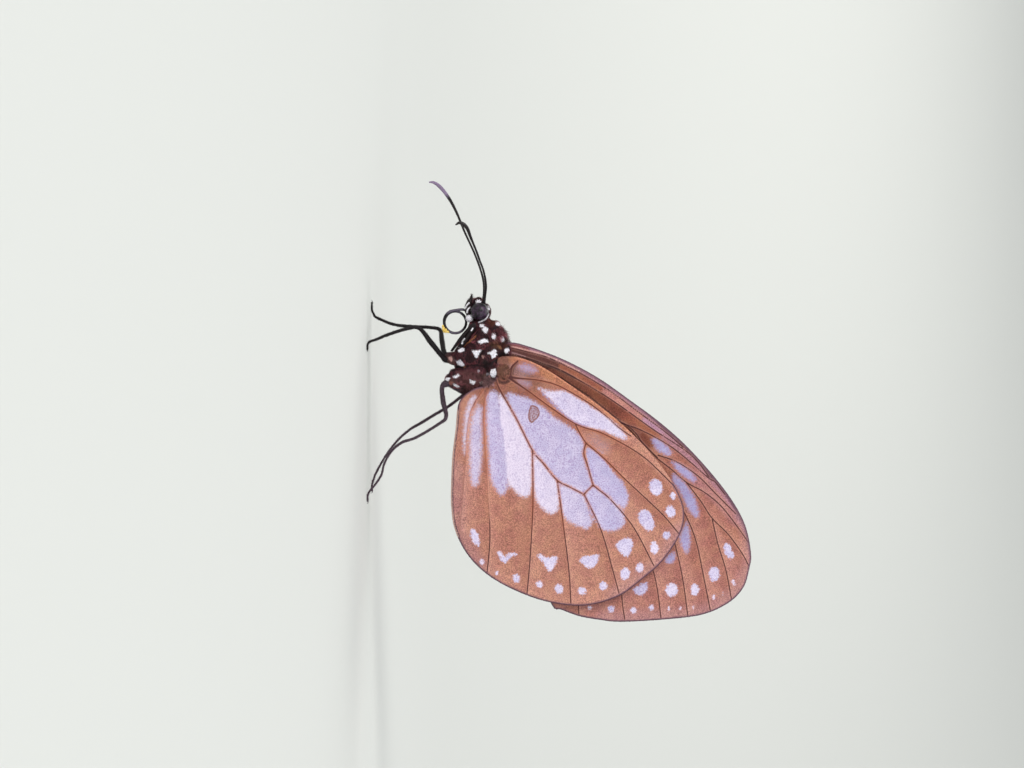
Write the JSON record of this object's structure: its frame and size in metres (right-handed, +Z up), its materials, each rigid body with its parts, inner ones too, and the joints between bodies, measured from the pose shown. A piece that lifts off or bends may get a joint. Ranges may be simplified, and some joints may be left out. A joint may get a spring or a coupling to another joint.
{
  "type": "parantica melusine butterfly",
  "caption": "Life-size still model of a brown tiger butterfly with pale wing spots, standing on its feet with its wings closed over its back.",
  "frame": {"origin": "on the floor, under the middle of the part's box", "axes": "+X from head to tail, +Y to the butterfly's right side, +Z up to the wing tips"},
  "size_m": [0.0595, 0.0212, 0.0513],
  "materials": {
    "body": "dark reddish brown skin under short hair, with white dots",
    "eye": "dark purple-brown compound eye, satin gloss",
    "antenna": "black-brown, fine dull rings",
    "proboscis": "black-violet, satin gloss",
    "wing": "terracotta scales with lilac-white patches and dark veins",
    "leg": "dark purple-brown, fine scales"
  },
  "bodies": {
    "root": {"head": "body", "thorax": "body", "abdomen": "body", "palp_left": "body", "palp_right": "body", "eye_left": "eye", "eye_right": "eye", "antenna_left": "antenna", "antenna_right": "antenna", "proboscis": "proboscis", "forewing_left": "wing", "forewing_right": "wing", "hindwing_left": "wing", "hindwing_right": "wing", "foreleg_left": "leg", "foreleg_right": "leg", "midleg_left": "leg", "midleg_right": "leg", "hindleg_left": "leg", "hindleg_right": "leg"}
  },
  "joints": []
}
